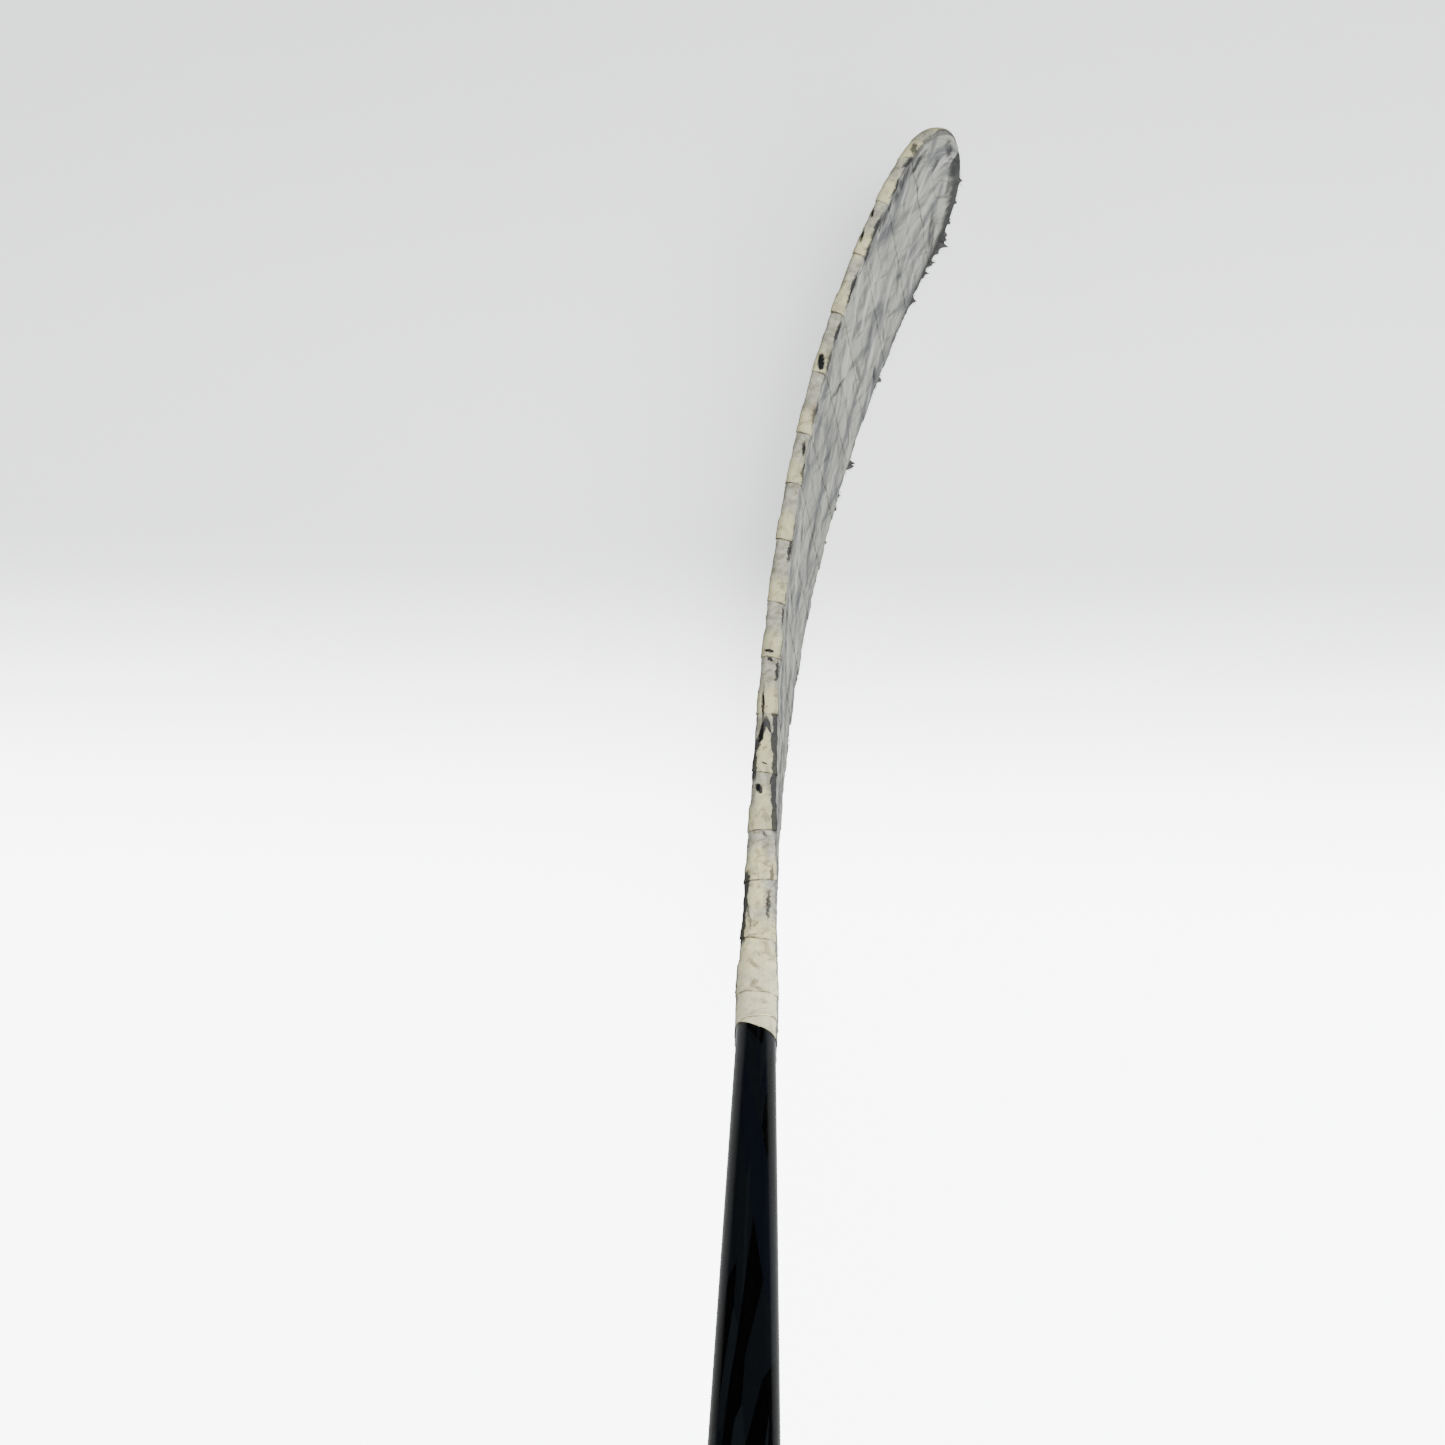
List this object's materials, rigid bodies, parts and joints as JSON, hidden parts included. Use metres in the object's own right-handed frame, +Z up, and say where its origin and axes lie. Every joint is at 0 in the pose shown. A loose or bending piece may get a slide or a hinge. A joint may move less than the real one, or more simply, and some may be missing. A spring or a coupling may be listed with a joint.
{
  "type": "ice hockey stick",
  "caption": "Left-handed ice hockey stick with a hollow black carbon shaft, a curved laminated blade wound in worn white cloth tape, and a taped grip with a knob.",
  "frame": {"origin": "heel point, where the back line of the shaft meets the ice, in the shaft's middle plane", "axes": "+X along the ice from heel to toe, +Z up from the ice, forehand face towards -Y"},
  "size_m": [1.3398, 0.0879, 1.0698],
  "materials": {
    "shaft_gloss": "gloss clear coat over black carbon",
    "blade_laminate": "satin carbon and epoxy laminate",
    "foam": "cut rigid foam",
    "epoxy": "cured adhesive",
    "plug_rubber": "moulded, matt",
    "blade_tape": "worn woven cotton tape, off-white",
    "grip_cloth": "woven cotton tape"
  },
  "bodies": {
    "root": {"shaft_tube": "shaft_gloss", "end_plug": "plug_rubber", "plug_glue": "epoxy", "blade_tenon": "blade_laminate", "tenon_bond": "epoxy", "joint_sleeve": "shaft_gloss", "heel_block": "foam", "skin_forehand": "blade_laminate", "skin_backhand": "blade_laminate", "core_upper": "foam", "core_lower": "foam", "core_bridge": "blade_laminate", "top_rail": "blade_laminate", "sole_rail": "blade_laminate", "toe_cap": "blade_laminate", "tape_first_turn": "blade_tape", "tape_heel_laps": "blade_tape", "tape_blade_laps": "blade_tape", "tape_toe_fold": "blade_tape", "grip_tape": "grip_cloth", "knob_tape": "grip_cloth"}
  },
  "joints": []
}
